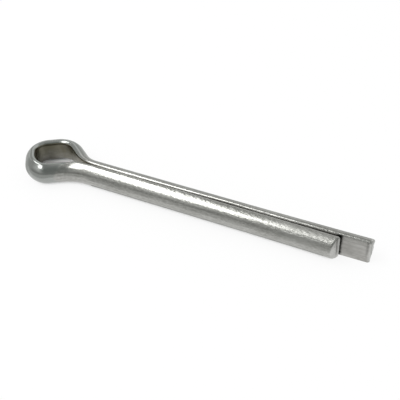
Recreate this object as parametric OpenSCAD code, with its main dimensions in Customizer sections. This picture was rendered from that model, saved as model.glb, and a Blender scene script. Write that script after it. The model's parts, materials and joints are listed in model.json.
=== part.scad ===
// Split cotter pin: one half-round wire folded flat side in. It has a teardrop eye, an S-bend at each
// side of the eye into the shank, and two prongs, one longer than the other.
// The pin lies as it rests, with the eye flat: +X runs from the eye to the tips and +Y towards the
// long prong. The origin is on the shank's axis, where the last of the two necks ends.

/* [Wire] */
// Diameter of the closed shank, whose half is the wire's half-round section
shank_d = 5.8; // [4.8:0.1:6.8]
// Rounding of the two edges where the wire's flat meets its round back
edge_r = 0.5; // [0.2:0.05:0.8]

/* [Shank] */
// Slit between the two flats along the closed shank
slit = 0.3; // [0.1:0.05:0.6]
// Length over which the prongs lie closed, from the neck
closed_len = 34; // [20:1:45]
// Length of the short prong, from the neck
short_len = 58.4; // [50:0.2:100]
// How much further the long prong reaches
extension = 6; // [2:0.5:12]
// How far each prong stands off sideways at the short prong's end
spread = 0.15; // [0.05:0.01:0.2]
// How far the short prong's round back is sheared behind its flat
short_shear = 1.1; // [0.3:0.1:2]
// How far the long prong's round back is sheared ahead of its flat
long_shear = 0.3; // [0:0.1:1]

/* [Eye] */
// Inner radius of the eye's crown
crown_r = 2.7; // [2:0.1:4]
// Sideways shift of the crown towards the long prong
crown_shift = 0.5; // [0:0.1:1]

/* [Eye, long prong's side] */
// Angle that the crown bends through before the straight run
long_turn = 59; // [45:1:75]
// Straight run from the crown to the shoulder
long_run = 2.2; // [1:0.1:4]
// Inner radius of the shoulder
long_shoulder_r = 3.7; // [2.5:0.1:5]
// Slope of the side that leads back to the shank
long_slope = 35; // [28:1:42]
// Radius of the neck bend into the shank, on the wire's flat
long_neck_r = 9; // [5:0.1:13]

/* [Eye, short prong's side] */
// Angle that the crown bends through before the straight run
short_turn = 34; // [25:1:50]
// Straight run from the crown to the shoulder
short_run = 1.4; // [0.5:0.1:3]
// Inner radius of the shoulder
short_shoulder_r = 3.4; // [2.5:0.1:5]
// Slope of the side that leads back to the shank
short_slope = 32; // [26:1:36]
// Radius of the neck bend into the shank, on the wire's flat
short_neck_r = 13; // [6:0.1:15]

/* [Hidden] */
$fn = 96;
steel = [0.66, 0.66, 0.64];

// Thinning of the wire in its bends, their reach into the straight wire, and stock left to cut off
bend_draw = 0.02;
bend_lap = 0.1;
cut_stock = 1;

shank_r = shank_d / 2;
flat_y = slit / 2;
wire_h = shank_r - flat_y;

// Centre of each edge rounding, on the section: it touches the flat and the round back
edge_z = sqrt(pow(shank_r - edge_r, 2) - pow(edge_r + flat_y, 2));
edge_angle = atan2(edge_z, edge_r + flat_y);

// A side of the pin is a chain of legs, from the crown to its tip:
// ["run", length], ["in", radius, angle] towards the flat and ["out", radius, angle] away from it
function step(leg) =
    leg[0] == "run" ? [leg[1], 0] :
    leg[0] == "in" ? leg[1] * [sin(leg[2]), cos(leg[2]) - 1] :
    leg[1] * [sin(leg[2]), 1 - cos(leg[2])];
function turn(leg) = leg[0] == "run" ? 0 : leg[0] == "in" ? -leg[2] : leg[2];
function turned(v, a) = [v.x * cos(a) - v.y * sin(a), v.x * sin(a) + v.y * cos(a)];
function reach(legs, i = 0, a = 90) =
    i == len(legs) ? [0, 0] : turned(step(legs[i]), a) + reach(legs, i + 1, a + turn(legs[i]));

// The sloped run is as long as it takes to bring the neck's end onto the shank's flat
function crown_legs(crown_turn, run, shoulder_r, slope) =
    [["in", crown_r, crown_turn], ["run", run], ["in", shoulder_r, 90 + slope - crown_turn]];
function slope_len(legs, shift, slope, neck_r) =
    (shift + reach(legs).y - flat_y - neck_r * (1 - cos(slope))) / sin(slope);
function eye_legs(legs, shift, slope, neck_r) =
    concat(legs, [["run", slope_len(legs, shift, slope, neck_r)], ["out", neck_r, slope]]);

long_eye = eye_legs(crown_legs(long_turn, long_run, long_shoulder_r, long_slope),
    crown_shift, long_slope, long_neck_r);
short_eye = eye_legs(crown_legs(short_turn, short_run, short_shoulder_r, short_slope),
    -crown_shift, short_slope, short_neck_r);
neck_x = max(reach(long_eye).x, reach(short_eye).x);

// The prongs open along one wide arc, which starts where the closed length ends
open_len = short_len - closed_len;
spread_r = open_len / sin(2 * atan2(spread, open_len));
function prong_legs(eye, len) =
    concat(eye, [["run", closed_len + neck_x - reach(eye).x],
        ["out", spread_r, asin((len - closed_len) / spread_r)]]);
long_side = prong_legs(long_eye, short_len + extension + cut_stock);
short_side = prong_legs(short_eye, short_len + cut_stock);

// Half-round section, flat on x = 0 and its back towards +x, with rounded edges. A bend's section is
// slimmer all round, as wire is drawn thinner where it is bent.
module wire_section(slim = 0) {
    intersection() {
        translate([-flat_y, 0]) circle(shank_r - slim);
        polygon([
            [slim, -edge_z], [edge_r, -edge_z], shank_d * [cos(edge_angle), -sin(edge_angle)],
            [2 * shank_d, 0],
            shank_d * [cos(edge_angle), sin(edge_angle)], [edge_r, edge_z], [slim, edge_z]
        ]);
    }
    for (side = [-1, 1]) translate([edge_r, side * edge_z]) circle(edge_r - slim);
}

// One leg of wire, from the origin along +x with its round back towards +y. A bend reaches a little
// way into the straight wire at both of its ends.
module leg(leg) {
    if (leg[0] == "run") {
        rotate([90, 0, 90]) linear_extrude(leg[1]) wire_section();
    } else {
        lap = bend_lap / leg[1] * 180 / PI;
        if (leg[0] == "in")
            translate([0, -leg[1], 0]) rotate(90 - leg[2] - lap) rotate_extrude(angle = leg[2] + 2 * lap)
                translate([leg[1], 0]) wire_section(bend_draw);
        else
            translate([0, leg[1], 0]) rotate(-90 - lap) rotate_extrude(angle = leg[2] + 2 * lap)
                translate([leg[1], 0]) mirror([1, 0]) wire_section(bend_draw);
    }
}

// The legs of one side after the crown
module side(legs, i = 0) {
    if (i < len(legs)) {
        if (i > 0) leg(legs[i]);
        translate(step(legs[i])) rotate(turn(legs[i])) side(legs, i + 1);
    }
}

module crown() {
    lap = bend_lap / crown_r * 180 / PI;
    translate([crown_r, 0, 0]) rotate(180 - long_turn - lap)
        rotate_extrude(angle = long_turn + short_turn + 2 * lap)
            translate([crown_r, 0]) wire_section(bend_draw);
}

// What is cut off a prong past its length: the end leans back by so much over the wire's height
module cut_off(len, lean_back) {
    translate([len, flat_y, 0]) rotate(atan2(lean_back, wire_h))
        translate([0, -shank_d, -shank_d]) cube(2 * shank_d);
}

module split_pin() {
    color(steel) {
        translate([-neck_x, crown_shift, 0]) crown();
        difference() {
            translate([-neck_x, crown_shift, 0]) rotate(90) side(long_side);
            cut_off(short_len + extension, -long_shear);
        }
        mirror([0, 1, 0]) difference() {
            translate([-neck_x, -crown_shift, 0]) rotate(90) side(short_side);
            cut_off(short_len, short_shear);
        }
    }
}

split_pin();
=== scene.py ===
# %% [markdown]
# A split cotter pin
# A split cotter pin is one length of half-round wire, folded so that its two flats meet. The fold
# stays open as an eye, and the two prongs together make a round shank that goes through a cross hole.
# This lesson sweeps the wire along its path with Geometry Nodes, plates it with zinc, and lights it
# the way small shiny hardware is lit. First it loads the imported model, which fixes where the pin is.

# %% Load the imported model
import json
import math
from functools import reduce

import bpy
from mathutils import Matrix, Vector


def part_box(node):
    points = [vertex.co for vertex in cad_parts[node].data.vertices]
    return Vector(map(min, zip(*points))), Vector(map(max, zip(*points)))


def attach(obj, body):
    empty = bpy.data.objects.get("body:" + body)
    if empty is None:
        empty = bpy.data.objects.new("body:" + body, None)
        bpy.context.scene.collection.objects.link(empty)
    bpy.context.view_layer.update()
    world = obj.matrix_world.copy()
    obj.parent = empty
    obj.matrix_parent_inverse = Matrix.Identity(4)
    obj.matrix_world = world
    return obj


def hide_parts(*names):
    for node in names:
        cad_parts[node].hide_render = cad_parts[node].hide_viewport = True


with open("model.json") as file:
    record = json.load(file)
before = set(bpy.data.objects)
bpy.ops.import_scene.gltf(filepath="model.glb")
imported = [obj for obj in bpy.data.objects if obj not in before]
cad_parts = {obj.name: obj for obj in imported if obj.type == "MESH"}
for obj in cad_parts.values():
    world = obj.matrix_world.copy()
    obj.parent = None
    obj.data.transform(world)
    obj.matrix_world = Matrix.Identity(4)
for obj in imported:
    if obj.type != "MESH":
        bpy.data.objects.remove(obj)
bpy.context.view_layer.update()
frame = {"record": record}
pin_low, pin_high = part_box("split_pin")
print("the packed pin reaches from", tuple(pin_low), "to", tuple(pin_high))

# %% [markdown]
# Sizes
# Blender works in metres and the pin is a few centimetres long, so its sizes are written in
# millimetres and multiplied once. The shank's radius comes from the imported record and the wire's half
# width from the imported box. The rest are the sizes of the wire, its ends and its bends, which a bender
# would set on the machine one by one. A shoulder has two radii: one up to its widest place, and the
# heel's from there on towards the shank.

# %% Sizes of the wire
MM = 0.001
shank_r = frame["record"]["mounts"][0]["dims"]["r_mm"] * MM
edge_r = 0.5 * MM
half_slit = 0.15 * MM
wire_h = shank_r - half_slit
half_width = pin_high.z

closed_len = 34 * MM
short_len = 58.4 * MM
long_len = 64.6 * MM
spread = 0.15 * MM
short_lean = 1.1 * MM
long_lean = -0.3 * MM

crown_r = 2.7 * MM
crown_shift = 0.5 * MM
long_eye = dict(
    crown_turn=59, run_len=2.2 * MM, shoulder_r=3.7 * MM, heel_r=3.7 * MM, slope=35, neck_r=9 * MM,
)
short_eye = dict(
    crown_turn=34, run_len=1.6 * MM, shoulder_r=3.4 * MM, heel_r=1.8 * MM, slope=32, neck_r=13 * MM,
)
print(f"wire {wire_h / MM:.2f} mm thick and {2 * half_width / MM:.2f} mm wide")

# %% [markdown]
# The wire's path
# A bent wire is a chain of straight runs and arcs, so the path is walked leg by leg, as the wire runs
# through the bender: each leg is a run's length, or a bend's radius and the angle that it turns
# through. Both sides start at the crown of the eye. The side of the short prong is the same walk,
# mirrored. A drawn Bezier curve would need many handles to hold these true arcs.

# %% Walk a chain of legs
BEND_STEP = 0.18 * MM
RUN_STEP = 0.2 * MM


def run(length):
    """A straight leg."""
    return length, 0.0


def bend(radius, degrees):
    """A bent leg: it turns left where the angle is positive."""
    turn = math.radians(degrees)
    return radius * abs(turn), turn


def heading_to(angle):
    """The unit vector in that direction."""
    return Vector((math.cos(angle), math.sin(angle)))


def walk(legs, start, heading):
    """Points along the legs, as (place, heading)."""
    points = [(Vector(start), heading)]
    for length, turn in legs:
        count = max(1, round(length / (BEND_STEP if turn else RUN_STEP)))
        half_turn = turn / count / 2
        chord = length / count
        if turn:
            chord *= math.sin(half_turn) / half_turn
        for _ in range(count):
            place, heading = points[-1]
            points.append((place + heading_to(heading + half_turn) * chord, heading + turn / count))
    return points


# %% Each side of the pin, from the crown to its tip
QUARTER_TURN = 90
CROWN_HEADING = math.radians(QUARTER_TURN)
open_len = short_len - closed_len
spread_r = open_len / math.sin(2 * math.atan2(spread, open_len))


def eye_legs(shift, crown_turn, run_len, shoulder_r, heel_r, slope, neck_r):
    """The legs from the crown to the shank. The sloped run brings the neck's end onto its flat."""
    shoulder = [bend(shoulder_r, crown_turn - QUARTER_TURN), bend(heel_r, -slope)]
    legs = [bend(crown_r, -crown_turn), run(run_len), *shoulder]
    rise = walk(legs, (0, shift), CROWN_HEADING)[-1][0].y - half_slit
    lean = math.radians(slope)
    sloped = (rise - neck_r * (1 - math.cos(lean))) / math.sin(lean)
    return legs + [run(sloped), bend(neck_r, slope)]


def reach_of(legs):
    """How far the legs reach from the crown, along the shank."""
    return walk(legs, (0, 0), CROWN_HEADING)[-1][0].x


long_legs = eye_legs(crown_shift, **long_eye)
short_legs = eye_legs(-crown_shift, **short_eye)
neck_x = max(reach_of(long_legs), reach_of(short_legs))


def side_of(legs, shift, length):
    """One whole side, from the crown to the tip, in the pin's own frame."""
    opening = math.degrees(math.asin((length - closed_len) / spread_r))
    prong = [run(closed_len + neck_x - reach_of(legs)), bend(spread_r, opening)]
    return walk(legs + prong, (-neck_x, shift), CROWN_HEADING)


long_side = side_of(long_legs, crown_shift, long_len)
short_side = side_of(short_legs, -crown_shift, short_len)
mirrored = [(Vector((p.x, -p.y)), math.pi - h) for p, h in short_side]
flat_line = mirrored[:0:-1] + long_side
print(f"the flat's line has {len(flat_line)} points, and its crown is at {-neck_x / MM:.3f} mm")

# %% [markdown]
# Stations for the sweep
# The sweep carries the wire's section along the middle of the wire, half its thickness behind the
# flat. Each station has a scale for the section. It is 1 along the wire, eases off where the sheared
# rim is rolled over, and then falls to nothing across the end's face, so that the face gets rings of
# its own that can be shaped later. A plain cap would be one flat polygon.

# %% Stations, with the section's scale at each
RIM_RINGS = 5
FACE_RINGS = 28
FACE_STEP = 0.001 * MM
short_roll = 0.4 * MM
long_roll = 0.6 * MM


def middle_of(station):
    """The place on the wire's middle line, and its heading."""
    place, heading = station
    return place + Vector((-math.sin(heading), math.cos(heading))) * wire_h / 2, heading


def end_of(tip, heading, roll):
    """Stations past the last plain one: a quarter-round rim, and then the end's face."""
    ahead = heading_to(heading)
    made = []
    for k in range(1, RIM_RINGS + 1):
        a = math.pi / 2 * k / RIM_RINGS
        made.append((tip + ahead * roll * math.sin(a), 1 - roll * (1 - math.cos(a)) / half_width))
    rim, rim_scale = made[-1]
    for k in range(1, FACE_RINGS + 1):
        made.append((rim + ahead * FACE_STEP * k, rim_scale * (1 - k / FACE_RINGS)))
    return made


def trimmed(line, roll):
    """The line without its last bit, which the rolled rim takes."""
    tip = line[-1][0]
    kept = [s for s in line if (tip - s[0]).length > roll + FACE_STEP]
    return kept + [(tip - heading_to(kept[-1][1]) * roll, kept[-1][1])]


middle_line = trimmed([middle_of(s) for s in flat_line], long_roll)
backwards = trimmed([(p, h + math.pi) for p, h in reversed(middle_line)], short_roll)
middle_line = [(p, h - math.pi) for p, h in reversed(backwards)]
short_end = end_of(middle_line[0][0], middle_line[0][1] + math.pi, short_roll)
long_end = end_of(*middle_line[-1], long_roll)
stations = short_end[::-1] + [(p, 1.0) for p, _ in middle_line] + long_end
print(f"{len(middle_line)} stations along the wire and {len(long_end)} more at each end")

# %% How far along the wire each station is
lengths = [0.0]
for (a, _), (b, _) in zip(stations, stations[1:]):
    lengths.append(lengths[-1] + (b - a).length)
wire_length = lengths[-1]


def along_of(x, pick):
    """How far along the wire it crosses that x: min on the short prong's side, max on the other."""
    return pick(s for (p, _), s in zip(stations, lengths) if p.x < x)


print(f"{len(stations)} stations along {wire_length / MM:.1f} mm of wire")

# %% Draw the path as a curve
path_data = bpy.data.curves.new("wire_path", "CURVE")
path_data.dimensions = "3D"
spline = path_data.splines.new("POLY")
spline.points.add(len(stations) - 1)
for point, (place, scale) in zip(spline.points, stations):
    point.co = (place.x, place.y, 0, 1)
    point.radius = scale
wire = bpy.data.objects.new("wire_path", path_data)
bpy.context.scene.collection.objects.link(wire)
print(f"the path is a curve through {len(spline.points)} points")

# %% [markdown]
# A few words for wiring nodes
# Node trees built in a script are long if every node takes four lines. These helpers add one node, set
# its options and fill its inputs, with a plain value or with another node's output. The maths helpers
# read like a formula, so the rule behind a shape stays readable.

# %% Helpers for node trees


def fill(tree, socket, value):
    """Links an output to the socket, or sets its value."""
    if isinstance(value, bpy.types.NodeSocket):
        tree.links.new(value, socket)
    else:
        socket.default_value = value


def add(tree, kind, inputs=None, **options):
    """A node of that kind, with its options and inputs set."""
    node = tree.nodes.new(kind)
    for name, value in options.items():
        setattr(node, name, value)
    for name, value in (inputs or {}).items():
        fill(tree, node.inputs[name], value)
    return node


# %% Helpers for numbers


def calc(tree, operation, *values):
    """One step of arithmetic on numbers."""
    node = add(tree, "ShaderNodeMath", operation=operation)
    for socket, value in zip(node.inputs, values):
        fill(tree, socket, value)
    return node.outputs[0]


def product(tree, *values):
    """All the numbers multiplied."""
    return reduce(lambda a, b: calc(tree, "MULTIPLY", a, b), values)


def total(tree, *values):
    """All the numbers added."""
    return reduce(lambda a, b: calc(tree, "ADD", a, b), values)


def apart(tree, a, b):
    """How far two numbers are apart."""
    return calc(tree, "ABSOLUTE", calc(tree, "SUBTRACT", a, b))


def ramp(tree, value, start, end, low=0.0, high=1.0):
    """From low at the start to high at the end, with soft shoulders."""
    return add(tree, "ShaderNodeMapRange", {
        "Value": value, "From Min": start, "From Max": end, "To Min": low, "To Max": high,
    }, interpolation_type="SMOOTHSTEP").outputs[0]


# %% Helpers for vectors
NUMBER_RESULTS = ("DOT_PRODUCT", "LENGTH")


def vector(tree, x, y, z):
    """A vector from three numbers."""
    return add(tree, "ShaderNodeCombineXYZ", {"X": x, "Y": y, "Z": z}).outputs[0]


def split(tree, value):
    """A vector's three numbers, by name."""
    return add(tree, "ShaderNodeSeparateXYZ", {0: value}).outputs


def vector_calc(tree, operation, a, b=None, scale=None):
    """One step of arithmetic on vectors."""
    inputs = {0: a}
    if b is not None:
        inputs[1] = b
    if scale is not None:
        inputs["Scale"] = scale
    node = add(tree, "ShaderNodeVectorMath", inputs, operation=operation)
    return node.outputs["Value" if operation in NUMBER_RESULTS else "Vector"]


# %% Helpers for points


def keep(tree, geometry, name, value, data_type):
    """The geometry with the value stored on its points under that name."""
    return add(tree, "GeometryNodeStoreNamedAttribute", {
        "Geometry": geometry, "Name": name, "Value": value,
    }, data_type=data_type, domain="POINT").outputs[0]


def named(tree, name, data_type):
    """A value stored on the points earlier."""
    return add(tree, "GeometryNodeInputNamedAttribute", {"Name": name}, data_type=data_type).outputs[0]


def moved(tree, geometry, offset):
    """The geometry with its points moved by their offsets."""
    return add(tree, "GeometryNodeSetPosition", {"Geometry": geometry, "Offset": offset}).outputs[0]


# %% [markdown]
# Sweeping the wire
# The section is a half round with two rounded edges. It can be had from a circle: each point of the
# circle is an outward direction, and the section's point in that direction lies on the round back, or
# on the rounding of one edge. Curve to Mesh then carries the section along the path. Attributes come
# with it, such as how far along the wire a point is and where on the section. Those two say where the
# point was while the wire was still straight, which the finishes need later.

# %% The tree's inputs
tree = bpy.data.node_groups.new("Folded half-round wire", "GeometryNodeTree")
tree.is_modifier = True
tree.interface.new_socket("Path", in_out="INPUT", socket_type="NodeSocketGeometry")
wire_values = {
    "Shank radius": shank_r,
    "Edge rounding": edge_r,
    "Edge rounding in the eye": 0.85 * MM,
    "Swelling in the eye": 0.8 * MM,
    "Closing of the slit": 0.11 * MM,
    "Long edge's set-back": 0.2 * MM,
    "Half slit": half_slit,
    "Short end's lean": short_lean,
    "Long end's lean": long_lean,
    "Long end's waves": 0.6 * MM,
    "Dent depth": 0.012 * MM,
    "Mottle depth": 0.03 * MM,
    "Die mark": 0.03 * MM,
    "Seed": 4.0,
}
finish_inputs = ("Back finish", "Flat finish", "End finish")
sockets = {}
for name in (*wire_values, *finish_inputs):
    kind = "NodeSocketMaterial" if name in finish_inputs else "NodeSocketFloat"
    sockets[name] = tree.interface.new_socket(name, in_out="INPUT", socket_type=kind)
tree.interface.new_socket("Wire", in_out="OUTPUT", socket_type="NodeSocketGeometry")
given = tree.nodes.new("NodeGroupInput").outputs
print(f"the tree takes a path and {len(sockets)} other inputs")

# %% The half-round section
CIRCLE_POINTS = 192
SECTION_POINTS = 96
circle = add(tree, "GeometryNodeCurvePrimitiveCircle", {"Resolution": CIRCLE_POINTS, "Radius": 1.0})
direction = add(tree, "GeometryNodeInputPosition").outputs[0]
across = split(tree, direction)
thickness = calc(tree, "SUBTRACT", given["Shank radius"], given["Half slit"])
half_thick = calc(tree, "MULTIPLY", thickness, 0.5)


def half_round(edge):
    """The section's point in each direction, from its middle, with edges of that rounding."""
    core_r = calc(tree, "SUBTRACT", given["Shank radius"], edge)
    core_x = calc(tree, "ADD", edge, given["Half slit"])
    squares = calc(tree, "SUBTRACT", calc(tree, "POWER", core_r, 2.0), calc(tree, "POWER", core_x, 2.0))
    back_x = calc(tree, "SUBTRACT", calc(tree, "MULTIPLY", core_r, across["X"]), given["Half slit"])
    corner_z = calc(tree, "MULTIPLY", calc(tree, "SIGN", across["Y"]), calc(tree, "SQRT", squares))
    core = add(tree, "GeometryNodeSwitch", {
        "Switch": calc(tree, "GREATER_THAN", across["X"], calc(tree, "DIVIDE", core_x, core_r)),
        "False": vector(tree, edge, corner_z, 0.0),
        "True": vector(tree, back_x, calc(tree, "MULTIPLY", core_r, across["Y"]), 0.0),
    }, input_type="VECTOR").outputs[0]
    outline = vector_calc(tree, "ADD", core, vector_calc(tree, "SCALE", direction, scale=edge))
    return vector_calc(tree, "SUBTRACT", vector(tree, half_thick, 0.0, 0.0), outline)


drawn_section = half_round(given["Edge rounding"])
eye_section = half_round(given["Edge rounding in the eye"])
eye_shift = vector_calc(tree, "SUBTRACT", eye_section, drawn_section)
section = keep(tree, circle.outputs[0], "eye_shift", eye_shift, "FLOAT_VECTOR")
section = add(tree, "GeometryNodeSetPosition", {"Geometry": section, "Position": drawn_section})
section = add(tree, "GeometryNodeResampleCurve", {"Curve": section.outputs[0], "Count": SECTION_POINTS})
on_section = add(tree, "GeometryNodeInputPosition").outputs[0]
section = keep(tree, section.outputs[0], "section", on_section, "FLOAT_VECTOR")
print(f"the section is a ring of {SECTION_POINTS} points")

# %% Carry the section along the path
MERGE_WITHIN = 5 * FACE_STEP
travelled = add(tree, "GeometryNodeSplineParameter").outputs["Length"]
section_scale = add(tree, "GeometryNodeInputRadius").outputs[0]
tangent = add(tree, "GeometryNodeInputTangent").outputs[0]
path = keep(tree, given["Path"], "along", travelled, "FLOAT")
path = keep(tree, path, "ring", section_scale, "FLOAT")
path = keep(tree, path, "ahead", tangent, "FLOAT_VECTOR")
path = add(tree, "GeometryNodeSetCurveNormal", {"Curve": path}, mode="Z_UP")
swept = add(tree, "GeometryNodeCurveToMesh", {
    "Curve": path.outputs[0], "Profile Curve": section, "Scale": section_scale, "Fill Caps": False,
})
closed = add(tree, "GeometryNodeMergeByDistance", {
    "Geometry": swept.outputs[0], "Distance": MERGE_WITHIN,
})
print(f"the sweep takes {len(stations)} rings of it along the path")

# %% Where each point was on the straight wire
SECTION_UP = -1.0
along = named(tree, "along", "FLOAT")
ring = named(tree, "ring", "FLOAT")
on_wire = split(tree, vector_calc(tree, "SCALE", named(tree, "section", "FLOAT_VECTOR"), scale=ring))
straight = vector(tree, along, on_wire["X"], on_wire["Y"])
wire_mesh = keep(tree, closed.outputs[0], "straight_wire", straight, "FLOAT_VECTOR")
depth = calc(tree, "DIVIDE", calc(tree, "SUBTRACT", half_thick, on_wire["X"]), thickness)
wire_z = calc(tree, "MULTIPLY", on_wire["Y"], SECTION_UP)
from_long_tip = calc(tree, "SUBTRACT", wire_length, along)

# %% [markdown]
# The eye's rounder edges
# The eye was pressed round a mandrel, and the press ironed the wire's edges there. On the short prong's
# side the pressed part stops at a slanting line, which the die's edge left across the neck. So the
# section that the sweep carried is moved towards a rounder one wherever the wire was pressed. A bend
# also squeezes the metal on its inside, which swells up along the edge of the short prong's side.
# Along the shank the flats are pressed closer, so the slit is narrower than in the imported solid.
# The long prong's edges aren't alike either: towards its tip, the upper one is rubbed rounder and the
# lower one stays sharper, as the cropping left it. The upper one is also set back from the slit, which
# therefore opens upwards.

# %% Where the wire was pressed
DIE_X = -3.9 * MM
DIE_SLANT = 4.6 * MM
DIE_EDGE = 0.5 * MM
PRESSED_FULL, PRESSED_OUT = -6 * MM, -1 * MM
die_at = along_of(DIE_X, min)
aslant = calc(tree, "MULTIPLY_ADD", depth, -DIE_SLANT, along)
short_pressed = ramp(tree, aslant, die_at - DIE_EDGE, die_at + DIE_EDGE)
long_pressed = ramp(tree, along, along_of(PRESSED_OUT, max), along_of(PRESSED_FULL, max))
pressed = calc(tree, "MULTIPLY", short_pressed, long_pressed)
wire_mesh = keep(tree, wire_mesh, "pressed", pressed, "FLOAT")
print(f"the die's edge meets the flat {die_at / MM:.1f} mm from the short tip")

# %% Where the long prong's edges differ
TIP_FROM, TIP_FULL, TIP_SHARE = 34 * MM, 20 * MM, 0.7
near_tip = ramp(tree, from_long_tip, TIP_FROM, TIP_FULL, 0.0, TIP_SHARE)
rounder_above = ramp(tree, wire_z, -half_width, half_width, -1.0, 1.0)
rounder = calc(tree, "MULTIPLY_ADD", near_tip, rounder_above, pressed)
print(f"the long prong's edges differ over its last {TIP_FROM / MM:.0f} mm")

# %% Where it swelled
SWELL_X = -14.5 * MM
SWELL_REACH = 8.5 * MM
swell_at = along_of(SWELL_X, min)
squeezed = ramp(tree, apart(tree, along, swell_at), SWELL_REACH, 0.0)
inner = calc(tree, "POWER", calc(tree, "SUBTRACT", 1.0, depth), 2.0)
on_top = ramp(tree, wire_z, 0.0, half_width)
swelling = product(tree, inner, on_top, squeezed, given["Swelling in the eye"])
print(f"the swelling is highest {swell_at / MM:.1f} mm from the short tip")

# %% Where the slit is pressed closer
CLOSER_FROM, CLOSER_FULL = -3 * MM, 3 * MM
CLOSER_TO, OPEN_FROM, OPEN_SHARE = 24 * MM, 46 * MM, 0.75
closer = 0.0
for pick in (min, max):
    at_neck = ramp(tree, along, along_of(CLOSER_FROM, pick), along_of(CLOSER_FULL, pick))
    to_tip = ramp(tree, along, along_of(CLOSER_TO, pick), along_of(OPEN_FROM, pick), 1.0, OPEN_SHARE)
    closer = calc(tree, "MULTIPLY_ADD", at_neck, to_tip, closer)
closing = product(tree, closer, inner, given["Closing of the slit"])
narrow = half_slit - wire_values["Closing of the slit"]
print(f"the slit narrows from {2 * half_slit / MM:.2f} to {2 * narrow / MM:.2f} mm")

# %% Where the long prong's upper edge is set back
SET_FROM, SET_FULL = 20 * MM, 36 * MM
far_along = ramp(tree, along, along_of(SET_FROM, max), along_of(SET_FULL, max))
set_back = product(tree, inner, on_top, far_along, given["Long edge's set-back"])
inwards = calc(tree, "SUBTRACT", closing, set_back)
print(f"the long prong's upper edge is set back from {SET_FROM / MM:.0f} mm on")

# %% Iron the edges there
flatwards = vector_calc(tree, "CROSS_PRODUCT", named(tree, "ahead", "FLOAT_VECTOR"), (0.0, 0.0, 1.0))
shift = split(tree, named(tree, "eye_shift", "FLOAT_VECTOR"))
ironing = calc(tree, "MULTIPLY", shift["X"], rounder)
sideways = vector_calc(tree, "SCALE", flatwards, scale=calc(tree, "ADD", ironing, inwards))
flattening = product(tree, shift["Y"], rounder, SECTION_UP)
upwards = vector(tree, 0.0, 0.0, calc(tree, "ADD", flattening, swelling))
wire_mesh = moved(tree, wire_mesh, vector_calc(tree, "ADD", sideways, upwards))
print(f"the tree has {len(tree.nodes)} nodes so far")

# %% [markdown]
# Sheared ends
# The wire was cropped from a coil, so its ends lean. The short prong's blade broke through in two
# steps, which leaves a ridge and a groove along the face, both fading out below, and a rolled edge at
# the flat. The lean is a shift along the pin that grows from the flat to the round back and dies out a
# few millimetres from the end. The long end was torn off less evenly: its top leans ahead, its lower
# part leans back, and noise makes it wavy.

# %% Noise on the straight wire
DRAWN_OUT = 2.2
PLAIN, FINE = 1.0, 2.0
NOISE_ROUGHNESS = 0.5
NOISE_MIDDLE = 0.5


def noise(size, detail, stretch=1.0):
    """Even noise about 0 on the straight wire, with lumps of about that size, stretched along it."""
    wire_place = named(tree, "straight_wire", "FLOAT_VECTOR")
    shortened = vector_calc(tree, "MULTIPLY", wire_place, (1 / stretch, 1.0, 1.0))
    node = add(tree, "ShaderNodeTexNoise", {
        "Vector": vector_calc(tree, "ADD", shortened, vector(tree, given["Seed"], 0.0, 0.0)),
        "Scale": 1 / size,
        "Detail": detail,
        "Roughness": NOISE_ROUGHNESS,
    })
    return calc(tree, "SUBTRACT", node.outputs["Fac"], NOISE_MIDDLE)


# %% A curve through points


def profile(value, points):
    """A curve drawn through the points, with straight stretches between them."""
    node = add(tree, "ShaderNodeFloatCurve", {"Value": value})
    curve = node.mapping.curves[0]
    curve.points[0].location = points[0]
    curve.points[-1].location = points[-1]
    for x, y in points[1:-1]:
        curve.points.new(x, y)
    for point in curve.points:
        point.handle_type = "VECTOR"
    node.mapping.update()
    return node.outputs[0]


# %% The short end's steps and groove
LEAN_FADE = 4 * MM
GROOVE_DEPTH, GROOVE_HALF = 0.3, 0.12
PLAIN_BELOW, STEPS_ABOVE = -2.3 * MM, -0.9 * MM
SHEAR_STEPS = [(0, 0.16), (0.08, 0), (0.2, 0.04), (0.28, 0.42), (0.34, 0.44), (0.42, 0.36), (1, 1)]
near_short = ramp(tree, along, LEAN_FADE, 0.0)
in_steps = ramp(tree, wire_z, PLAIN_BELOW, STEPS_ABOVE)
stepped = calc(tree, "SUBTRACT", profile(depth, SHEAR_STEPS), depth)
short_face = calc(tree, "MULTIPLY_ADD", stepped, in_steps, depth)
short_shift = product(tree, short_face, near_short, given["Short end's lean"])
# Painted shade along the groove of the sheared end, fading out below.
at_groove = ramp(tree, apart(tree, depth, GROOVE_DEPTH), GROOVE_HALF, 0.0)
groove = product(tree, at_groove, in_steps, near_short)
print(f"the short end leans back by {short_lean / MM:.1f} mm, in {len(SHEAR_STEPS) - 1} stretches")

# %% The long end's tear
WAVE_FADE = 2 * MM
WAVE_SIZE = 1.8 * MM
TORN_FROM, TORN_SHARE = 0.3 * MM, -0.9
near_long = ramp(tree, from_long_tip, LEAN_FADE, 0.0)
torn = ramp(tree, wire_z, TORN_FROM, half_width, TORN_SHARE, 1.0)
long_shift = product(tree, depth, near_long, torn, given["Long end's lean"])
waves = calc(tree, "MULTIPLY", noise(WAVE_SIZE, PLAIN), ramp(tree, from_long_tip, WAVE_FADE, 0.0))
wave_shift = calc(tree, "MULTIPLY", waves, given["Long end's waves"])
print(f"the long end's waves are about {WAVE_SIZE / MM:.1f} mm long")

# %% Lean both ends
back_by = total(tree, short_shift, long_shift, wave_shift)
wire_mesh = moved(tree, wire_mesh, vector(tree, calc(tree, "MULTIPLY", back_by, -1.0), 0.0, 0.0))
print(f"the lean dies out {LEAN_FADE / MM:.0f} mm from each end")
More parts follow.
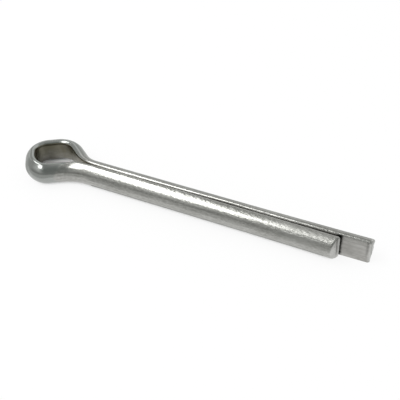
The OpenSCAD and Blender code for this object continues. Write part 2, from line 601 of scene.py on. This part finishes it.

# %% [markdown]
# A used surface
# Noise on the straight wire's coordinates gives slow dents from the bending tools and a mottle, drawn
# out along the wire, which is strongest near the short prong's tip and weaker near the long one's. The
# bending die also left a mark across the short side, where the eye's slope turns into the neck: a low
# step that falls back to nothing. All this is real shape, so it survives in the mesh. Attributes say
# where the wire is worn, and where shade is painted into the colour: on the eye's inside, darker towards
# its top and deepest in the crown, in the slit's mouth by the short tip, and along the groove of the
# sheared end. The long prong's torn rim is pale, with a dark line before it.

# %% Dents, mottle and the die's mark
MOTTLE_SIZE = 0.65 * MM
DENT_SIZE = 5 * MM
MOTTLED_FROM, MOTTLED_TO = 20 * MM, 7 * MM
MOTTLE_LEAST, LONG_SHARE = 0.45, 0.4
DIE_TAIL = 2.0 * MM
short_mottled = ramp(tree, along, MOTTLED_FROM, MOTTLED_TO)
long_mottled = ramp(tree, from_long_tip, MOTTLED_FROM, MOTTLED_TO, 0.0, LONG_SHARE)
mottled = calc(tree, "MAXIMUM", short_mottled, long_mottled)
mottle_share = ramp(tree, mottled, 0.0, 1.0, MOTTLE_LEAST, 1.0)
mottle = product(tree, noise(MOTTLE_SIZE, PLAIN, DRAWN_OUT), mottle_share, given["Mottle depth"])
dents = calc(tree, "MULTIPLY", noise(DENT_SIZE, PLAIN), given["Dent depth"])
step_up = ramp(tree, aslant, die_at + DIE_EDGE, die_at)
tail = ramp(tree, aslant, die_at - DIE_TAIL, die_at)
die_mark = product(tree, step_up, tail, given["Die mark"])
normal = add(tree, "GeometryNodeInputNormal").outputs[0]
outwards = vector_calc(tree, "SCALE", normal, scale=total(tree, mottle, dents, die_mark))
wire_mesh = moved(tree, wire_mesh, outwards)
print(f"the mottle is {MOTTLE_SIZE / MM:.2f} mm across and {DRAWN_OUT:.1f} times as long")

# %% Wear, and painted shade inside the eye
WORN_X, BRIGHT_X = 6 * MM, -4 * MM
EYE_SHADE_LOW, EYE_SHADE_HIGH = 0.35, 0.9
BLOTCH_SIZE = 2.5 * MM
BLOTCH_CONTRAST = 1.6
short_worn = ramp(tree, along, along_of(BRIGHT_X, min), along_of(WORN_X, min))
long_worn = ramp(tree, along, along_of(BRIGHT_X, max), along_of(WORN_X, max))
worn = calc(tree, "MAXIMUM", short_worn, long_worn)
height = split(tree, add(tree, "GeometryNodeInputPosition").outputs[0])["Z"]
# Painted shade on the eye's inside: darker towards the top, in blotches, and none where the wire is worn.
eye_shade_height = ramp(tree, height, -half_width, half_width, EYE_SHADE_LOW, EYE_SHADE_HIGH)
blotch = calc(tree, "MULTIPLY_ADD", noise(BLOTCH_SIZE, FINE), BLOTCH_CONTRAST, 1.0)
stain_and_shade = product(tree, eye_shade_height, calc(tree, "SUBTRACT", 1.0, worn), blotch)
print(f"the stain's blotches are about {BLOTCH_SIZE / MM:.1f} mm across")

# %% Painted shade in the crown and in the slit's mouth
CROWN_SHADE_FULL, CROWN_SHADE_OUT = 3 * MM, 9 * MM
SLIT_SHADE_X = (57.0 * MM, 58.0 * MM, 58.4 * MM, 58.9 * MM)
SLIT_SHADE_RAGGED = 0.6 * MM
crown_at = min(zip((p.x for p, _ in stations), lengths))[1]
# Painted shade in the crown's hollow, in blotches.
crown_shade = calc(tree, "MULTIPLY", ramp(tree, apart(tree, along, crown_at), CROWN_SHADE_OUT, CROWN_SHADE_FULL), blotch)
# Painted shade in the slit's mouth on the long flat, by the short tip, with a ragged end.
slit_shade_in, slit_shade_full, slit_shade_less, slit_shade_out = (along_of(x, max) for x in SLIT_SHADE_X)
ragged = calc(tree, "MULTIPLY_ADD", noise(SLIT_SHADE_RAGGED, FINE), SLIT_SHADE_RAGGED, along)
slit_shade_start = ramp(tree, along, slit_shade_in, slit_shade_full)
slit_shade = calc(tree, "MULTIPLY", slit_shade_start, ramp(tree, ragged, slit_shade_out, slit_shade_less))
print(f"the crown is {crown_at / MM:.1f} mm along the wire, and the grime starts at {slit_shade_in / MM:.1f} mm")

# %% The long prong's pale torn rim
RIM_WIDE, RIM_SOFT, RIM_LEAST = 0.6 * MM, 0.1 * MM, 0.3
LINE_HALF, LINE_OUT = 0.35 * MM, -1.6 * MM
at_rim = ramp(tree, from_long_tip, RIM_WIDE + RIM_SOFT, RIM_WIDE - RIM_SOFT)
torn_rim = calc(tree, "MULTIPLY", at_rim, ramp(tree, wire_z, -half_width, half_width, RIM_LEAST, 1.0))
at_line = ramp(tree, apart(tree, from_long_tip, RIM_WIDE + LINE_HALF), LINE_HALF, 0.0)
rim_line = calc(tree, "MULTIPLY", at_line, ramp(tree, wire_z, LINE_OUT, 0.0))
print(f"the torn rim is {RIM_WIDE / MM:.1f} mm wide and its dark line {2 * LINE_HALF / MM:.1f} mm")

# %% Store the marks
marks = {
    "worn": worn, "mottled": mottled, "eye_painted_shade": stain_and_shade, "painted_crown_shade": crown_shade, "painted_slit_shade": slit_shade,
    "painted_groove_shade": groove, "torn_rim": torn_rim, "rim_line": rim_line,
}
for name, value in marks.items():
    wire_mesh = keep(tree, wire_mesh, name, value, "FLOAT")
print("marks on the wire:", ", ".join(marks))

# %% Give each kind of surface its finish
FLAT_DEPTH = 0.03
END_RING = 1 - short_roll / half_width / 2
on_flat = calc(tree, "LESS_THAN", depth, FLAT_DEPTH)
on_end = calc(tree, "LESS_THAN", ring, END_RING)
smooth = add(tree, "GeometryNodeSetShadeSmooth", {"Geometry": wire_mesh})
finished = add(tree, "GeometryNodeRealizeInstances", {"Geometry": smooth.outputs[0]})
for name, selection in zip(finish_inputs, (True, on_flat, on_end)):
    finished = add(tree, "GeometryNodeSetMaterial", {
        "Geometry": finished.outputs[0], "Selection": selection, "Material": given[name],
    })
tree.links.new(finished.outputs[0], tree.nodes.new("NodeGroupOutput").inputs["Wire"])
print(f"the tree has {len(tree.nodes)} nodes")

# %% [markdown]
# Zinc, three ways
# Bright zinc is a thin, slightly warm grey metal. The drawn back is the brightest and shows lengthwise
# draw lines. The flat was rolled and rubbed against its twin, so it is duller and scratched. The
# sheared ends are matt. All three share two effects, so those are node groups: one gives the cloudy
# tone and the grain of the plating, and the other the lines that drawing leaves along the wire.

# %% Helpers for materials


def blank_material(name):
    """A material with an empty node tree, and that tree."""
    material = bpy.data.materials.new(name)
    material.use_nodes = True
    material.node_tree.nodes.clear()
    return material, material.node_tree


def show(nodes, shader, kind="ShaderNodeOutputMaterial"):
    """Makes the shader the surface."""
    nodes.links.new(shader.outputs[0], nodes.nodes.new(kind).inputs["Surface"])


def mixed(nodes, factor, first, second):
    """Between two colours."""
    return add(nodes, "ShaderNodeMix", {
        "Factor": factor, "A": first, "B": second,
    }, data_type="RGBA").outputs["Result"]


# %% Helpers for shader groups
NOISE_LOW, NOISE_HIGH = 0.3, 0.7


def new_group(name, inputs, outputs):
    """A shader group on the straight wire, with named number inputs and outputs."""
    group = bpy.data.node_groups.new(name, "ShaderNodeTree")
    group.interface.new_socket("Wire", in_out="INPUT", socket_type="NodeSocketVector")
    for label in inputs:
        group.interface.new_socket(label, in_out="INPUT", socket_type="NodeSocketFloat")
    for label in outputs:
        group.interface.new_socket(label, in_out="OUTPUT", socket_type="NodeSocketFloat")
    return group, group.nodes.new("NodeGroupInput").outputs, group.nodes.new("NodeGroupOutput").inputs


def evened(tree, value):
    """Noise, which keeps near its middle, spread over 0 to 1."""
    return add(tree, "ShaderNodeMapRange", {
        "Value": value, "From Min": NOISE_LOW, "From Max": NOISE_HIGH,
    }).outputs[0]


# %% The plating's cloudy tone
TONE_DETAIL, GRAIN_DETAIL = 4.0, 2.0
clouds, inside, result = new_group("Zinc clouds", ("Cloud size", "Grain size"), ("Tone", "Grain"))
drawn = vector_calc(clouds, "MULTIPLY", inside["Wire"], (1 / DRAWN_OUT, 1.0, 1.0))
for label, size, detail in (("Tone", "Cloud size", TONE_DETAIL), ("Grain", "Grain size", GRAIN_DETAIL)):
    texture = add(clouds, "ShaderNodeTexNoise", {
        "Vector": drawn, "Scale": calc(clouds, "DIVIDE", 1.0, inside[size]), "Detail": detail,
    })
    clouds.links.new(evened(clouds, texture.outputs["Fac"]), result[label])
print(f"the group {clouds.name} has {len(clouds.nodes)} nodes")

# %% The draw lines
LINE_DETAIL, LINE_ROUGHNESS = 3.0, 0.6
lines, inside, result = new_group("Draw lines", ("Line width", "Line length"), ("Lines",))
parts = split(lines, inside["Wire"])
stretched = vector(
    lines,
    calc(lines, "DIVIDE", parts["X"], inside["Line length"]),
    calc(lines, "DIVIDE", parts["Y"], inside["Line width"]),
    calc(lines, "DIVIDE", parts["Z"], inside["Line width"]),
)
texture = add(lines, "ShaderNodeTexNoise", {
    "Vector": stretched, "Scale": 1.0, "Detail": LINE_DETAIL, "Roughness": LINE_ROUGHNESS,
})
lines.links.new(evened(lines, texture.outputs["Fac"]), result["Lines"])
print(f"the group {lines.name} has {len(lines.nodes)} nodes")

# %% One finish from the two effects
CLOUD_SIZE = 3 * MM
LINE_WIDTH, LINE_LENGTH = 0.16 * MM, 14 * MM
CLOUD_SHARE = 0.35
EYE_RELIEF, SHANK_RELIEF = 0.2, 0.85


def attribute(nodes, name, output="Fac"):
    """A value that the wire's points carry."""
    return add(nodes, "ShaderNodeAttribute", attribute_name=name).outputs[output]


def zinc(name, pale, deep, rough, tip_rough, bump, line_share, grain_size, stains_and_shades):
    """A zinc finish between two tones. Each stain and each painted shade is an attribute, its share and its
    colour.
    """
    material, nodes = blank_material(name)
    wire_place = attribute(nodes, "straight_wire", "Vector")
    cloud = add(nodes, "ShaderNodeGroup", {
        "Wire": wire_place, "Cloud size": CLOUD_SIZE, "Grain size": grain_size,
    }, node_tree=clouds).outputs
    line = add(nodes, "ShaderNodeGroup", {
        "Wire": wire_place, "Line width": LINE_WIDTH, "Line length": LINE_LENGTH,
    }, node_tree=lines).outputs
    lined = calc(nodes, "MULTIPLY", line["Lines"], line_share)
    relief = calc(nodes, "MULTIPLY_ADD", cloud["Grain"], 1 - line_share, lined)
    clouded = calc(nodes, "MULTIPLY", cloud["Tone"], CLOUD_SHARE)
    tone = calc(nodes, "MULTIPLY_ADD", relief, 1 - CLOUD_SHARE, clouded)
    colour = mixed(nodes, tone, (*deep, 1), (*pale, 1))
    for stain_and_shade, share, stain_and_shade_colour in stains_and_shades:
        stained = calc(nodes, "MULTIPLY", attribute(nodes, stain_and_shade), share)
        colour = mixed(nodes, stained, colour, (*stain_and_shade_colour, 1))
    smoothest, roughest = rough
    plain_rough = add(nodes, "ShaderNodeMapRange", {"Value": tone, "To Min": roughest, "To Max": smoothest})
    mottled = attribute(nodes, "mottled")
    worn = ramp(nodes, attribute(nodes, "worn"), 0.0, 1.0, EYE_RELIEF, SHANK_RELIEF)
    strength = calc(nodes, "MULTIPLY_ADD", mottled, 1 - SHANK_RELIEF, worn)
    bumped = add(nodes, "ShaderNodeBump", {"Height": relief, "Distance": bump, "Strength": strength})
    show(nodes, add(nodes, "ShaderNodeBsdfPrincipled", {
        "Base Color": colour,
        "Metallic": 1.0,
        "Roughness": calc(nodes, "MULTIPLY_ADD", mottled, tip_rough, plain_rough.outputs[0]),
        "Normal": bumped.outputs[0],
    }))
    return material


# %% Three finishes
# The eye's olive, the crown's black, the slit's black and the groove's dark are painted shade.
PRESSED_GREY = (0.34, 0.356, 0.342)
TORN_PALE = (0.62, 0.62, 0.605)
EYE_SHADE_OLIVE = (0.27, 0.253, 0.185)
CROWN_SHADE_BLACK = (0.06, 0.058, 0.045)
SLIT_SHADE_BLACK = (0.02, 0.02, 0.018)
LINE_DARK = (0.12, 0.12, 0.115)
GROOVE_SHADE_DARK = (0.1, 0.1, 0.092)
drawn_back = zinc(
    "zinc_drawn_back", pale=(0.48, 0.48, 0.46), deep=(0.27, 0.27, 0.252), rough=(0.15, 0.21),
    tip_rough=0.16, bump=0.024 * MM, line_share=0.3, grain_size=0.36 * MM,
    stains_and_shades=(("pressed", 0.85, PRESSED_GREY), ("torn_rim", 0.9, TORN_PALE)),
)
rubbed_flat = zinc(
    "zinc_rubbed_flat", pale=(0.5, 0.495, 0.475), deep=(0.24, 0.235, 0.22), rough=(0.28, 0.36),
    tip_rough=0.08, bump=0.03 * MM, line_share=0.6, grain_size=0.5 * MM,
    stains_and_shades=(
        ("eye_painted_shade", 1.0, EYE_SHADE_OLIVE), ("painted_crown_shade", 0.4, CROWN_SHADE_BLACK), ("painted_slit_shade", 1.0, SLIT_SHADE_BLACK),
        ("rim_line", 0.5, LINE_DARK), ("torn_rim", 0.9, TORN_PALE),
    ),
)
sheared_end = zinc(
    "zinc_sheared_end", pale=(0.56, 0.56, 0.54), deep=(0.4, 0.4, 0.385), rough=(0.26, 0.36),
    tip_rough=0.06, bump=0.02 * MM, line_share=0.3, grain_size=0.4 * MM,
    stains_and_shades=(("painted_groove_shade", 0.8, GROOVE_SHADE_DARK), ("torn_rim", 0.9, TORN_PALE)),
)
finishes = (drawn_back, rubbed_flat, sheared_end)
print("finishes:", ", ".join(finish.name for finish in finishes))

# %% Run the tree
modifier = wire.modifiers.new("Folded wire", "NODES")
modifier.node_group = tree
for name, value in {**wire_values, **dict(zip(finish_inputs, finishes))}.items():
    modifier[sockets[name].identifier] = value
depsgraph = bpy.context.evaluated_depsgraph_get()
pin_mesh = bpy.data.meshes.new_from_object(wire.evaluated_get(depsgraph), depsgraph=depsgraph)
pin = bpy.data.objects.new("cotter_pin", pin_mesh)
bpy.context.scene.collection.objects.link(pin)
bpy.data.objects.remove(wire)
print(f"the pin has {len(pin_mesh.vertices)} vertices and {len(pin_mesh.polygons)} faces")

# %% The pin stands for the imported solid
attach(pin, "root")
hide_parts("split_pin")

# %% [markdown]
# The floor
# The pin lies on a pale floor that runs out of the picture. Its material shows white to the camera and
# in reflections, with enough plain diffuse left in it to keep a soft shadow. Where the floor is closed
# in, as inside the eye, the white gives way to that diffuse, or light would seem to come from below.

# %% Sheets of the set


def plane(name, corners, material):
    """One four-cornered sheet of the set, which isn't part of the pin."""
    mesh = bpy.data.meshes.new(name)
    mesh.from_pydata(corners, [], [(0, 1, 2, 3)])
    mesh.materials.append(material)
    made = bpy.data.objects.new(name, mesh)
    bpy.context.scene.collection.objects.link(made)
    return made


def level_plane(name, along_x, along_y, z, material):
    """A level sheet at that height, between two x and two y."""
    (x0, x1), (y0, y1) = along_x, along_y
    return plane(name, [(x0, y0, z), (x1, y0, z), (x1, y1, z), (x0, y1, z)], material)


def seen_directly(nodes):
    """1 for what the camera sees, straight or by way of a mirror or glass, and 0 for other light."""
    light_path = add(nodes, "ShaderNodeLightPath").outputs
    seen = calc(nodes, "MAXIMUM", light_path["Is Camera Ray"], light_path["Is Glossy Ray"])
    return calc(nodes, "MAXIMUM", seen, light_path["Is Transmission Ray"])


# %% The floor's white
FLOOR_TONE = (0.85, 0.85, 0.85, 1)
WHITE = (1, 1, 1, 1)
SHADOW_SHARE = 0.13
CLOSED_REACH = 10 * MM
CLOSED_SAMPLES = 8
CLOSED_IN, OPEN = 0.0, 0.25
EYE_MIDDLE = (-11.0 * MM, 1.4 * MM)
EYE_LONG = 1.4
EYE_INSIDE, EYE_OUTSIDE = 3.2 * MM, 4.2 * MM
floor_z = pin_low.z
pale_floor, nodes = blank_material("pale_floor")
matt = add(nodes, "ShaderNodeBsdfDiffuse", {"Color": FLOOR_TONE})
white = add(nodes, "ShaderNodeEmission", {"Color": WHITE, "Strength": 1.0})
openness = add(nodes, "ShaderNodeAmbientOcclusion", {"Distance": CLOSED_REACH}, samples=CLOSED_SAMPLES)
open_share = ramp(nodes, openness.outputs["AO"], CLOSED_IN, OPEN, 0.0, 1 - SHADOW_SHARE)
on_floor = add(nodes, "ShaderNodeTexCoord").outputs["Object"]
off_eye = vector_calc(nodes, "SUBTRACT", on_floor, (*EYE_MIDDLE, floor_z))
from_eye = vector_calc(nodes, "LENGTH", vector_calc(nodes, "MULTIPLY", off_eye, (1 / EYE_LONG, 1.0, 0.0)))
white_share = calc(nodes, "MULTIPLY", open_share, ramp(nodes, from_eye, EYE_INSIDE, EYE_OUTSIDE))
share = calc(nodes, "MULTIPLY", seen_directly(nodes), white_share)
show(nodes, add(nodes, "ShaderNodeMixShader", {0: share, 1: matt.outputs[0], 2: white.outputs[0]}))
print(f"the floor keeps {SHADOW_SHARE:.0%} of plain diffuse for the shadow")

# %% The floor
FLOOR_SPAN = (-3.0, 3.0)
level_plane("floor", FLOOR_SPAN, FLOOR_SPAN, floor_z, pale_floor)
print(f"the floor lies at {floor_z / MM:.2f} mm")

# %% [markdown]
# The room
# A shiny round bar is drawn by what it mirrors. Round the set stands a dim room that only reflections
# see: walls, a ceiling, and a low wall at the back with a bright window over it. The front wall grows
# lighter upwards and has a dark spot where the viewer stands. It makes the dark band along the pin's
# front, and the band's soft upper side. Grey sheets lie on the floor round the pin and under it, also
# for reflections alone: they keep its lower side and its outline from fading into the white floor.

# %% The camera's direction
AZIMUTH = math.radians(28.79)
ELEVATION = math.radians(41.28)
view = Vector((
    math.sin(AZIMUTH) * math.cos(ELEVATION),
    -math.cos(AZIMUTH) * math.cos(ELEVATION),
    math.sin(ELEVATION),
))
print("the camera stands towards", tuple(round(part, 3) for part in view))

# %% The room's grey
ROOM_GREY = (0.55, 0.555, 0.545, 1)
LOW_GREY = (0.38, 0.385, 0.375, 1)
HIGH_GREY = (0.95, 0.955, 0.945, 1)
VIEWER_GREY = (0.3, 0.315, 0.305, 1)
FAR_FROM_VIEWER, AT_VIEWER = 0.7, 0.97
FRONT_FROM, FRONT_FULL = 0.35, 0.6
LOW, HIGH = 0.1, 0.6
dim_room, nodes = blank_material("dim_room")
towards = vector_calc(nodes, "NORMALIZE", add(nodes, "ShaderNodeTexCoord").outputs["Object"])
facing = vector_calc(nodes, "DOT_PRODUCT", towards, tuple(view))
place = split(nodes, towards)
in_front = ramp(nodes, calc(nodes, "MULTIPLY", place["Y"], -1.0), FRONT_FROM, FRONT_FULL)
front = mixed(nodes, ramp(nodes, place["Z"], LOW, HIGH), LOW_GREY, HIGH_GREY)
walls = mixed(nodes, in_front, ROOM_GREY, front)
grey = mixed(nodes, ramp(nodes, facing, FAR_FROM_VIEWER, AT_VIEWER), walls, VIEWER_GREY)
show(nodes, add(nodes, "ShaderNodeEmission", {"Color": grey, "Strength": 1.0}))
print(f"the room's material has {len(nodes.nodes)} nodes")

# %% The room's sheets
ROOM_HALF = 1.3
ROOM_HIGH = 1.2
CEILING_BACK = 0.95
WINDOW_SILL = 0.45
h, z, top, sill = ROOM_HALF, floor_z, ROOM_HIGH, WINDOW_SILL
room = [
    plane("front_wall", [(-h, -h, z), (h, -h, z), (h, -h, top), (-h, -h, top)], dim_room),
    plane("left_wall", [(-h, -h, z), (-h, h, z), (-h, h, top), (-h, -h, top)], dim_room),
    plane("right_wall", [(h, -h, z), (h, h, z), (h, h, top), (h, -h, top)], dim_room),
    plane("back_wall", [(-h, h, z), (h, h, z), (h, h, sill), (-h, h, sill)], dim_room),
    level_plane("ceiling", (-h, h), (-h, CEILING_BACK), top, dim_room),
]
print(f"the room is {2 * ROOM_HALF:.1f} m wide and {ROOM_HIGH:.1f} m high")

# %% The grey sheets on the floor
SHEET_GREY = (0.68, 0.685, 0.675, 1)
SHEET_LIFT = 0.05 * MM
LEFT, EYE_END, RIGHT = -17.5 * MM, -3 * MM, 66 * MM
FRONT, EYE_FRONT, BEHIND = -7.5 * MM, -10.5 * MM, 7.5 * MM
UNDER_X, UNDER_Y = (0.0, 55.5 * MM), (-2.6 * MM, 3 * MM)
grey_sheet, nodes = blank_material("grey_sheet")
show(nodes, add(nodes, "ShaderNodeEmission", {"Color": SHEET_GREY, "Strength": 1.0}))
for name, along_x, along_y, material in (
    ("under_sheet", UNDER_X, UNDER_Y, dim_room),
    ("front_sheet", (EYE_END, h), (-h, FRONT), grey_sheet),
    ("eye_sheet", (-h, EYE_END), (-h, EYE_FRONT), grey_sheet),
    ("back_sheet", (-h, h), (BEHIND, h), grey_sheet),
    ("left_sheet", (-h, LEFT), (FRONT, BEHIND), grey_sheet),
    ("right_sheet", (RIGHT, h), (FRONT, BEHIND), grey_sheet),
):
    room.append(level_plane(name, along_x, along_y, floor_z + SHEET_LIFT, material))
for sheet in room:
    sheet.visible_camera = False
    sheet.visible_diffuse = False
    sheet.visible_shadow = False
print(f"the room has {len(room)} sheets")

# %% The world
FILL = 0.92
world = bpy.data.worlds.new("white_studio")
bpy.context.scene.world = world
world.use_nodes = True
nodes = world.node_tree
nodes.nodes.clear()
level = add(nodes, "ShaderNodeMapRange", {"Value": seen_directly(nodes), "To Min": FILL, "To Max": 1.0})
sky = add(nodes, "ShaderNodeBackground", {"Color": WHITE, "Strength": level.outputs[0]})
show(nodes, sky, "ShaderNodeOutputWorld")
print(f"the world is white to see, and lights the pin at {FILL}")

# %% [markdown]
# Light and camera
# One long soft box hangs level over the eye's end, turned a little. Its mirror image is the white band
# along the near prong and the two small lights on the eye. The camera stands in front, over the tips,
# and looks down at the pin.

# %% The soft box
BOX_PLACE = Vector((-0.53, -0.4, 1.0))
BOX_SIZE = (0.45, 1.1)
BOX_TURN = math.radians(18.4)
BOX_WATTS = 6.8
lamp = bpy.data.lights.new("soft_box", "AREA")
lamp.shape = "RECTANGLE"
lamp.size, lamp.size_y = BOX_SIZE
lamp.energy = BOX_WATTS
soft_box = bpy.data.objects.new("soft_box", lamp)
bpy.context.scene.collection.objects.link(soft_box)
soft_box.location = BOX_PLACE
soft_box.rotation_euler.z = BOX_TURN
print(f"the soft box is {BOX_SIZE[0]} m by {BOX_SIZE[1]} m, with {BOX_WATTS} W")

# %% The camera
ROLL = math.radians(-3.72)
DISTANCE = 151.92 * MM
AIM = Vector((26.66, 1.307, 0)) * MM
LENS, SENSOR = 63.3, 36
CLIP_START = 1 * MM
level_right = Vector((math.cos(AZIMUTH), math.sin(AZIMUTH), 0))
level_up = view.cross(level_right)
right = level_right * math.cos(ROLL) + level_up * math.sin(ROLL)
up = level_up * math.cos(ROLL) - level_right * math.sin(ROLL)
camera_data = bpy.data.cameras.new("camera")
camera_data.sensor_width = SENSOR
camera_data.lens = LENS
camera_data.clip_start = CLIP_START
camera = bpy.data.objects.new("camera", camera_data)
bpy.context.scene.collection.objects.link(camera)
turned = Matrix((right, up, view)).transposed().to_4x4()
camera.matrix_world = Matrix.Translation(AIM + view * DISTANCE) @ turned
bpy.context.scene.camera = camera
bpy.context.scene.view_settings.view_transform = "Standard"
print(f"the camera is {DISTANCE / MM:.0f} mm from the point that it looks at")
